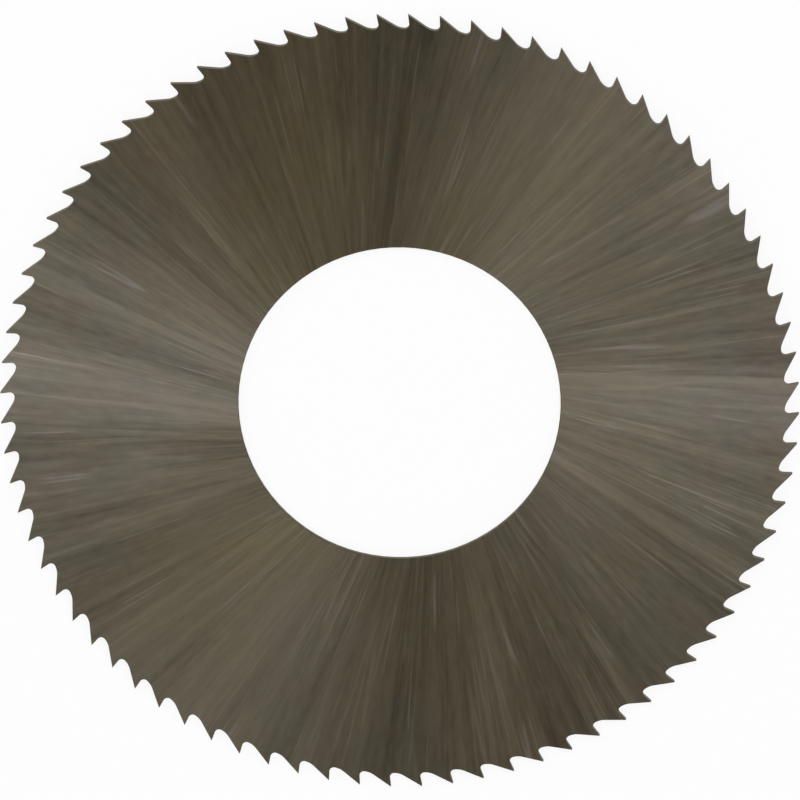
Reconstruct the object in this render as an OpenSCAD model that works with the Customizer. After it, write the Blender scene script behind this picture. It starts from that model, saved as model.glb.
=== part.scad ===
// Slitting saw: a thin ground steel disc with fine hooked teeth and a plain arbor bore.
// It lies flat on Z = 0 with its axis along +Z. Seen from above, its teeth point anticlockwise.
// Lengths are in millimetres and angles in degrees.

/* [Disc] */
// Diameter over the tooth tips
saw_d = 63; // [50:0.5:125]
// Thickness across the rim, which is the width of the slot that the saw cuts
saw_t = 0.6; // [0.3:0.05:3]
// Width of the full-thickness rim, measured inwards from the gullet bottoms
rim_w = 2; // [0.5:0.25:8]
// Side clearance: how far each side has been ground below the rim where it reaches the bore
side_clearance = 0.02; // [0.005:0.005:0.1]

/* [Bore] */
// Diameter of the arbor bore
bore_d = 25.4; // [10:0.1:40]
// Chamfer on both edges of the bore
bore_chamfer = 0.05; // [0.02:0.01:0.15]

/* [Teeth] */
// Number of teeth
tooth_count = 80; // [48:1:128]
// Depth of the gullets below the tooth tips
tooth_depth = 1.14; // [0.6:0.02:2]
// Rake: how far the cutting face leans forward of a line from the axis to the tip
rake_angle = 8; // [0:0.5:15]
// Radius at the foot of the cutting face
gullet_r = 0.35; // [0.1:0.05:0.6]
// Radius that sweeps from the gullet bottom up to the back of the next tooth
sweep_r = 1.5; // [0.8:0.1:3]

/* [Hidden] */
$fn = 180;
arc_steps = 6;
steel = [0.36, 0.33, 0.28];

// Radii of the disc, from the axis outwards
bore_r = bore_d / 2;
tip_r = saw_d / 2;
root_r = tip_r - tooth_depth;
rim_r = root_r - rim_w;

// Angle from one tooth to the next
pitch = 360 / tooth_count;

// Foot of the cutting face: an arc that touches the face and the root circle, and leaves the face straight
// over the rest of the depth
foot_share = 0.6;
foot_r = min(gullet_r, foot_share * tooth_depth);
gullet_a = rake_angle + asin((foot_r - tip_r * sin(rake_angle)) / (root_r + foot_r));

// Sweep: an arc that leaves the gullet bottom and runs into the straight back of the next tooth, always
// tighter than the arc that would reach the tip by itself
sweep_share = 0.9;
back_lead = pitch - gullet_a;
back_chord = norm(polar(tip_r, pitch) - polar(root_r, gullet_a));
back_rise = tip_r * cos(back_lead) - root_r;
back_r = min(sweep_r, sweep_share * back_chord ^ 2 / (2 * back_rise));
sweep_centre = polar(root_r + back_r, gullet_a);
to_next_tip = polar(tip_r, pitch) - sweep_centre;
back_a = atan2(to_next_tip.y, to_next_tip.x) + acos(back_r / norm(to_next_tip));

// Point at a radius and an angle
function polar(r, a) = [r * cos(a), r * sin(a)];

// Point turned about the axis
function turned(p, a) = [p.x * cos(a) - p.y * sin(a), p.x * sin(a) + p.y * cos(a)];

// Points along an arc, without its first point
function arc(centre, r, from, to) =
    [for (i = [1:arc_steps]) centre + polar(r, from + (to - from) * i / arc_steps)];

// One tooth gap: tip, straight cutting face, gullet, and the sweep up to the next back
gap_start = polar(root_r + foot_r, gullet_a) + polar(foot_r, rake_angle - 90);
gap_outline = concat(
    [[tip_r, 0], gap_start],
    arc(polar(root_r + foot_r, gullet_a), foot_r, rake_angle - 90, gullet_a - 180),
    arc(sweep_centre, back_r, gullet_a + 180, back_a)
);

// Outline of the whole toothed rim
rim_outline = [for (k = [0:tooth_count - 1], p = gap_outline) turned(p, k * pitch)];

// Half section of the ground disc, from the bore to beyond the tips
stock_r = tip_r + tooth_depth;
disc_section = [
    [bore_r, side_clearance + bore_chamfer],
    [bore_r + bore_chamfer, side_clearance],
    [rim_r, 0],
    [stock_r, 0],
    [stock_r, saw_t],
    [rim_r, saw_t],
    [bore_r + bore_chamfer, saw_t - side_clearance],
    [bore_r, saw_t - side_clearance - bore_chamfer]
];

module saw_blade() {
    color(steel)
    intersection() {
        rotate_extrude() polygon(disc_section);
        translate([0, 0, -saw_t]) linear_extrude(3 * saw_t) polygon(rim_outline);
    }
}

saw_blade();
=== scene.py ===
"""Looks of a slitting saw: radially ground steel on a pale studio floor, framed as in its photograph."""
import math

import bpy
from mathutils import Matrix, Vector


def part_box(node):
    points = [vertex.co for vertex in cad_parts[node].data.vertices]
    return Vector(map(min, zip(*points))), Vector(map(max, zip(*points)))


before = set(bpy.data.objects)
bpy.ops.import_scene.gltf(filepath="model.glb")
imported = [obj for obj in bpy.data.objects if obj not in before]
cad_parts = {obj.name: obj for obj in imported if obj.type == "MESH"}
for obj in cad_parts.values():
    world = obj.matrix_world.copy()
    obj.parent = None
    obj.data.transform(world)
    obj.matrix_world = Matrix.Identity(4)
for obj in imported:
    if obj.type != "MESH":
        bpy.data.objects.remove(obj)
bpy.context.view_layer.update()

MM = 0.001

# The saw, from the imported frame
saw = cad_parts["saw_blade"]
saw_low, saw_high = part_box("saw_blade")
SAW_TOP = saw_high.z
SAW_MIDDLE = (saw_low.z + saw_high.z) / 2
SAW_RADIUS = saw_high.x

# Camera: its place around the saw, and the photograph's scale. Angles are in degrees, lengths in metres, and
# the sensor in millimetres.
IMAGE_WIDTH = 800
CAMERA_AZIMUTH = 92.0
CAMERA_ELEVATION = 74.85
CAMERA_ROLL = 183.87
CAMERA_DISTANCE = 1.185
PIXELS_PER_MM = 12.688
SENSOR_WIDTH = 36
AIM_RIGHT = 0.04 * MM
AIM_UP = 0.288 * MM

# Grinding marks: three sets of straight lines that each miss the axis by a little, so they slant across the
# radius by about the angle given here
MARK_MISS = {"plain": 2.7 * MM, "crossing": 2.3 * MM, "leaning": 3.1 * MM}
MARK_SLANT = 7.2

# Grinding passes: which set of marks, how many in a turn, how long they are, and how much they count
GRINDING_PASSES = [
    ("plain", 40, 40 * MM, 0.44),
    ("plain", 120, 20 * MM, 0.50),
    ("crossing", 240, 16 * MM, 0.40),
    ("leaning", 320, 14 * MM, 0.30),
    ("plain", 560, 8 * MM, 0.12),
    ("plain", 400, 1.5 * MM, 0.38),
    ("plain", 700, 0.7 * MM, 0.14),
]

# Thin scratches among the marks: which set of marks, how many in a turn, and how long they are
BRIGHT_SCRATCHES = ("plain", 110, 40 * MM)
CROSSED_SCRATCHES = ("crossing", 140, 36 * MM)
DARK_SCRATCHES = ("leaning", 130, 36 * MM)
GLINT_SCRATCHES = ("plain", 180, 36 * MM)

# How wide a scratch is, in the noise that places it, and how much brighter or duller it is
SCRATCH_WIDTH = 0.04
SCRATCH_BRIGHTER = 0.35
SCRATCH_DULLER = -0.15

# Bundles of marks that stand out, partly heavier marks and partly painted highlight and shade where the
# lamps' bright and dark sectors fall: their direction and spread in degrees, and how much brighter or duller
MARK_BUNDLES_AND_PAINTED_LIGHT = [
    (11, 7, -0.18),
    (29, 4, 0.12),
    (72, 14, 0.14),
    (91, 8, -0.10),
    (110, 9, 0.12),
    (130, 6, 0.20),
    (142, 4, -0.06),
    (155, 4, -0.10),
    (160, 1.5, 0.20),
    (166, 5, -0.12),
    (177, 6, 0.16),
    (189, 5, -0.10),
    (238, 5, 0.18),
    (268, 10, -0.10),
    (334, 2, 0.26),
    (361, 6, 0.10),
    (364, 1.2, 0.34),
]

# Broad stains of oil along the marks, and a painted cool reflection of the lamps in the sectors where their
# highlights fall: direction and spread in degrees, and strength
OILY_MARKS = [(58, 20, 0.35), (120, 22, 0.35), (222, 20, 0.45)]
PAINTED_REFLECTION_MARKS = [(177, 7, 0.4), (361, 7, 0.6)]

# Patches drawn out along the marks: how many in a turn, how long they are, the detail of their noise, and the
# noise values at which a patch starts and is full
PATCHES = {
    "scratched": (70, 12 * MM, 1.0, 0.40, 0.70),
    "glinting": (110, 6 * MM, 0.0, 0.58, 0.72),
    "oily": (14, 8 * MM, 2.0, 0.42, 0.70),
    "rusty": (50, 4 * MM, 2.0, 0.48, 0.72),
}
OIL_STRENGTH = 0.34
RUST_STRENGTH = 0.45
GLINT_STRENGTH = 0.25

# Changes from the bore to the rim: the shares of the radius where they start and end, and the values there.
# The level of the faces is 0 for dull and 1 for bright steel, and the oil is multiplied.
LEVEL_OUTWARDS = (0.55, 0.85, 0.565, 0.445)
OIL_OUTWARDS = (0.45, 0.95, 1.3, 0.7)

# Steel of the faces: dull between the marks and bright on their crests, then tinted by oil, by a painted cool
# reflection of the lamps, and by rust
STEEL_DULL = (0.094, 0.083, 0.0595)
STEEL_BRIGHT = (0.207, 0.188, 0.140)
OIL_TINT = (1.00, 0.985, 0.79)
# Tint of the painted cool reflection of the lamps
PAINTED_REFLECTION_TINT = (0.98, 0.99, 1.06)
RUST_TINT = (1.08, 0.955, 0.92)
GLINT = (0.40, 0.38, 0.36)
EDGE_TINT = (0.72, 0.68, 0.62)

# Steel of the walls, at the teeth and in the bore, which was cut and not ground, with its colour darkened as
# painted shade for the dark surroundings that the walls mirror. Its grain is finer around the saw than along
# the axis.
WALL_DULL_WITH_SHADE = (0.145, 0.128, 0.100)
WALL_BRIGHT_WITH_SHADE = (0.270, 0.243, 0.195)
WALL_GRAIN = (4 / MM, 4 / MM, 0.6 / MM)
WALL_DETAIL = 2.0

# How far a surface's normal points up or down where it counts as all wall and as all face
WALL_UPRIGHT = 0.3
FACE_UPRIGHT = 0.6

# Surface: a crest of the marks is smoother than the steel between them, and a glint smoother still
FACE_ROUGHNESS = 0.56
CREST_ROUGHNESS = -0.22
GLINT_ROUGHNESS = -0.06
WALL_ROUGHNESS = 0.55
ANISOTROPY = 0.9
BUMP_STRENGTH = 0.5
BUMP_DEPTH = 0.06 * MM

# Light: a warm room and five cool softboxes, about neutral together
ROOM_COLOUR = (1.0, 0.915, 0.765)
ROOM_LEVEL = 0.41
LAMP_COLOUR = (0.95, 0.98, 1.17)
LAMP_SIZE = 0.4
LAMP_DISTANCE = 0.8

# Softboxes: name, azimuth and elevation in degrees, and power in watts
LAMPS = [
    ("overhead", 105, 70, 0.95),
    ("back", 75, 50, 1.52),
    ("left", 150, 30, 1.53),
    ("front", 255, 50, 0.60),
    ("right", 315, 30, 1.26),
]

# Floor: a pale sheet just under the saw, mostly seen as white
FLOOR_SIZE = 6.0
FLOOR_DROP = 0.02 * MM
FLOOR_COLOUR = (0.95, 0.95, 0.95)
FLOOR_GLOW = 0.88


class Graph:
    """Short ways to add shader nodes to one node tree."""

    def __init__(self, owner):
        owner.use_nodes = True
        self.tree = owner.node_tree
        self.tree.nodes.clear()

    def add(self, kind, inputs=None, **settings):
        made = self.tree.nodes.new(kind)
        for name, value in settings.items():
            setattr(made, name, value)
        for name, value in (inputs or {}).items():
            self.feed(made.inputs[name], value)
        return made

    def feed(self, socket, value):
        if isinstance(value, bpy.types.NodeSocket):
            self.tree.links.new(value, socket)
        else:
            socket.default_value = value

    def math(self, operation, *values):
        made = self.add("ShaderNodeMath", operation=operation)
        for socket, value in zip(made.inputs, values):
            self.feed(socket, value)
        return made.outputs[0]

    def times(self, a, b):
        return self.math("MULTIPLY", a, b)

    def weigh(self, start, *terms):
        """The start value plus some values, each times its weight."""
        total = start
        for value, weight in terms:
            total = self.math("MULTIPLY_ADD", value, weight, total)
        return total

    def parts(self, vector):
        return self.add("ShaderNodeSeparateXYZ", {"Vector": vector}).outputs[:]

    def join(self, x, y, z):
        return self.add("ShaderNodeCombineXYZ", {"X": x, "Y": y, "Z": z}).outputs[0]

    def noise(self, where, detail):
        made = self.add("ShaderNodeTexNoise", {"Vector": where, "Scale": 1.0, "Detail": detail})
        return made.outputs["Fac"]

    def remap(self, value, low, high, to_low, to_high):
        made = self.add(
            "ShaderNodeMapRange",
            {"Value": value, "From Min": low, "From Max": high, "To Min": to_low, "To Max": to_high},
        )
        return made.outputs["Result"]

    def blend(self, factor, a, b, way="MIX"):
        """Two colours mixed by a factor. The Mix node keeps its colour sockets at these places."""
        made = self.add("ShaderNodeMix", data_type="RGBA", blend_type=way)
        self.feed(made.inputs[0], factor)
        self.feed(made.inputs[6], a)
        self.feed(made.inputs[7], b)
        return made.outputs[2]

    def tint(self, factor, colour, by):
        return self.blend(factor, colour, (*by, 1), "MULTIPLY")


class Marks:
    """Patterns that follow the grinding marks, which lie mirrored on the underside."""

    def __init__(self, g, place):
        self.g = g
        x, y, z = g.parts(place)
        self.square = g.math("ADD", g.times(x, x), g.times(y, y))
        self.radius = g.math("SQRT", self.square)
        side = g.math("SIGN", g.math("SUBTRACT", z, SAW_MIDDLE))
        self.turn = g.times(g.math("ARCTAN2", y, x), side)
        self.ways = {name: self.lay(miss) for name, miss in MARK_MISS.items()}

    def lay(self, miss):
        """A point's place on straight lines that miss the axis: its line, as an angle, and how far along."""
        g = self.g
        line = g.math("ADD", self.turn, g.math("ARCCOSINE", g.math("DIVIDE", miss, self.radius)))
        along = g.math("SQRT", g.math("SUBTRACT", self.square, miss * miss))
        return line, along

    def noise(self, way, per_turn, length, detail=1.0):
        """Noise with so many marks in a turn, each about as long as said."""
        g = self.g
        line, along = self.ways[way]
        ring = per_turn / (2 * math.pi)
        where = g.join(
            g.times(g.math("COSINE", line), ring),
            g.times(g.math("SINE", line), ring),
            g.math("DIVIDE", along, length),
        )
        return g.noise(where, detail)

    def scratches(self, way, per_turn, length):
        """Thin lines, where the noise passes its middle value."""
        off = self.g.math("SUBTRACT", self.noise(way, per_turn, length, 0.0), 0.5)
        return self.g.remap(self.g.math("ABSOLUTE", off), 0.0, SCRATCH_WIDTH, 1.0, 0.0)

    def patches(self, kind, most=1.0):
        """Zero between the patches of a kind, and the most inside them."""
        per_turn, length, detail, start, full = PATCHES[kind]
        return self.g.remap(self.noise("plain", per_turn, length, detail), start, full, 0.0, most)

    def bundle(self, direction, spread):
        """One along the marks of a direction, falling to zero where they lie a spread away."""
        line = self.ways["plain"][0]
        near = self.g.math("SINE", self.g.math("SUBTRACT", line, math.radians(direction)))
        return self.g.remap(near, math.cos(math.radians(spread)), 1.0, 0.0, 1.0)

    def bundles(self, rows):
        return [(self.bundle(direction, spread), change) for direction, spread, change in rows]

    def outwards(self, first, last, inner, outer):
        """A value that goes from inner to outer between two shares of the saw's radius."""
        return self.g.remap(self.radius, first * SAW_RADIUS, last * SAW_RADIUS, inner, outer)


def ground_pattern(g, marks):
    """Height and brightness of the ground faces, from about 0 between the marks to 1 on their crests, with
    painted highlight and shade in some bundles of marks.
    """
    passes = [
        (marks.noise(way, per_turn, length), weight)
        for way, per_turn, length, weight in GRINDING_PASSES
    ]
    ground = g.weigh(-sum(weight for _, weight in passes) / 2, *passes)
    scratched = marks.patches("scratched")
    bright = g.math("ADD", marks.scratches(*BRIGHT_SCRATCHES), marks.scratches(*CROSSED_SCRATCHES))
    bright = g.times(bright, scratched)
    dark = g.times(marks.scratches(*DARK_SCRATCHES), g.math("SUBTRACT", 1.0, scratched))
    scratches = [(bright, SCRATCH_BRIGHTER), (dark, SCRATCH_DULLER)]
    level = marks.outwards(*LEVEL_OUTWARDS)
    # The bundles add painted highlight and shade as well as heavier marks
    return g.weigh(level, (ground, 1.0), *scratches, *marks.bundles(MARK_BUNDLES_AND_PAINTED_LIGHT))


def ground_colour(g, marks, face, glint):
    """Colour of the ground faces: the marks, then oil that fades towards the rim, a painted cool reflection
    of the lamps, rust and glints.
    """
    steel = g.blend(face, (*STEEL_DULL, 1), (*STEEL_BRIGHT, 1))
    oil = g.weigh(marks.patches("oily", OIL_STRENGTH), *marks.bundles(OILY_MARKS))
    steel = g.tint(g.times(oil, marks.outwards(*OIL_OUTWARDS)), steel, OIL_TINT)
    # Painted cool reflection of the lamps, in the sectors where their highlights fall
    painted_reflection = g.weigh(0.0, *marks.bundles(PAINTED_REFLECTION_MARKS))
    steel = g.tint(painted_reflection, steel, PAINTED_REFLECTION_TINT)
    rust = marks.patches("rusty", RUST_STRENGTH)
    steel = g.tint(rust, steel, RUST_TINT)
    return g.blend(g.times(glint, GLINT_STRENGTH), steel, (*GLINT, 1))


def ground_steel():
    """Dark steel whose grinding marks run from the bore to the gullets on both faces, with plainer walls."""
    material = bpy.data.materials.new("ground_steel_radial")
    g = Graph(material)
    place = g.add("ShaderNodeTexCoord").outputs["Object"]
    marks = Marks(g, place)
    face = ground_pattern(g, marks)
    glint = g.times(marks.scratches(*GLINT_SCRATCHES), marks.patches("glinting"))
    steel = ground_colour(g, marks, face, glint)

    axial = g.add("ShaderNodeMapping", {"Vector": place, "Scale": WALL_GRAIN}).outputs[0]
    wall = g.noise(axial, WALL_DETAIL)
    # Wall colour of cut steel, darkened as painted shade
    cut_with_painted_shade = g.blend(wall, (*WALL_DULL_WITH_SHADE, 1), (*WALL_BRIGHT_WITH_SHADE, 1))

    upright = g.parts(g.add("ShaderNodeNewGeometry").outputs["True Normal"])[2]
    flat = g.remap(g.math("ABSOLUTE", upright), WALL_UPRIGHT, FACE_UPRIGHT, 0.0, 1.0)
    height = g.remap(flat, 0.0, 1.0, wall, face)
    bump = g.add("ShaderNodeBump", {"Height": height, "Strength": BUMP_STRENGTH, "Distance": BUMP_DEPTH})
    roughness = g.weigh(FACE_ROUGHNESS, (face, CREST_ROUGHNESS), (glint, GLINT_ROUGHNESS))
    shader = g.add(
        "ShaderNodeBsdfPrincipled",
        {
            "Base Color": g.blend(flat, cut_with_painted_shade, steel),
            "Metallic": 1.0,
            "Roughness": g.remap(flat, 0.0, 1.0, WALL_ROUGHNESS, roughness),
            "Specular Tint": (*EDGE_TINT, 1),
            "Anisotropic": ANISOTROPY,
            "Anisotropic Rotation": 1 - MARK_SLANT / 360,
            "Normal": bump.outputs[0],
            "Tangent": g.add("ShaderNodeTangent", direction_type="RADIAL", axis="Z").outputs[0],
        },
    )
    g.add("ShaderNodeOutputMaterial", {"Surface": shader.outputs[0]})
    return material


def from_angles(azimuth, elevation):
    """The unit vector that points to an azimuth and elevation, in degrees."""
    around = math.radians(azimuth)
    above = math.radians(elevation)
    return Vector((
        math.cos(above) * math.cos(around),
        math.cos(above) * math.sin(around),
        math.sin(above),
    ))


def view_axes():
    """Unit vectors of the camera: to its right, up its picture, and from the saw towards it."""
    roll = math.radians(CAMERA_ROLL)
    back = from_angles(CAMERA_AZIMUTH, CAMERA_ELEVATION)
    right = Vector((0, 0, 1)).cross(back).normalized()
    up = back.cross(right)
    return (
        math.cos(roll) * right + math.sin(roll) * up,
        math.cos(roll) * up - math.sin(roll) * right,
        back,
    )


def add_object(name, data):
    made = bpy.data.objects.new(name, data)
    bpy.context.scene.collection.objects.link(made)
    return made


def add_camera():
    right, up, back = view_axes()
    aim = Vector((0, 0, SAW_TOP)) + AIM_RIGHT * right + AIM_UP * up
    data = bpy.data.cameras.new("camera")
    data.sensor_width = SENSOR_WIDTH
    data.lens = PIXELS_PER_MM / MM * CAMERA_DISTANCE * SENSOR_WIDTH / IMAGE_WIDTH
    camera = add_object("camera", data)
    turned = Matrix((right, up, back)).transposed().to_4x4()
    camera.matrix_world = Matrix.Translation(aim + CAMERA_DISTANCE * back) @ turned
    bpy.context.scene.camera = camera


def floor_pale():
    """Matt near-white that the camera and mirrors see mostly as plain white, with a faint shadow left."""
    material = bpy.data.materials.new("floor_pale")
    g = Graph(material)
    matt = g.add("ShaderNodeBsdfDiffuse", {"Color": (*FLOOR_COLOUR, 1)})
    white = g.add("ShaderNodeEmission", {"Color": (1, 1, 1, 1), "Strength": 1.0})
    path = g.add("ShaderNodeLightPath").outputs
    mirrored = g.math("MAXIMUM", path["Is Glossy Ray"], path["Is Transmission Ray"])
    seen = g.math("MAXIMUM", path["Is Camera Ray"], mirrored)
    mix = g.add("ShaderNodeMixShader", {"Fac": g.times(seen, FLOOR_GLOW)})
    g.feed(mix.inputs[1], matt.outputs[0])
    g.feed(mix.inputs[2], white.outputs[0])
    g.add("ShaderNodeOutputMaterial", {"Surface": mix.outputs[0]})
    return material


def add_floor():
    mesh = bpy.data.meshes.new("floor")
    half = FLOOR_SIZE / 2
    level = saw_low.z - FLOOR_DROP
    corners = [(-half, -half, level), (half, -half, level), (half, half, level), (-half, half, level)]
    mesh.from_pydata(corners, [], [(0, 1, 2, 3)])
    mesh.materials.append(floor_pale())
    add_object("floor", mesh)


def add_world():
    world = bpy.data.worlds.new("room")
    g = Graph(world)
    room = g.add("ShaderNodeBackground", {"Color": (*ROOM_COLOUR, 1), "Strength": ROOM_LEVEL})
    g.add("ShaderNodeOutputWorld", {"Surface": room.outputs[0]})
    bpy.context.scene.world = world


def add_lamp(name, azimuth, elevation, power):
    """A square softbox that faces the saw's centre."""
    data = bpy.data.lights.new(name, "AREA")
    data.shape = "SQUARE"
    data.size = LAMP_SIZE
    data.color = LAMP_COLOUR
    data.energy = power
    lamp = add_object(name, data)
    way = from_angles(azimuth, elevation)
    turned = way.to_track_quat("Z", "Y").to_matrix().to_4x4()
    lamp.matrix_world = Matrix.Translation(LAMP_DISTANCE * way) @ turned
    lamp.visible_camera = False


bpy.context.scene.view_settings.view_transform = "Standard"
saw.material_slots[0].material = ground_steel()
add_camera()
add_floor()
add_world()
for lamp_row in LAMPS:
    add_lamp(*lamp_row)
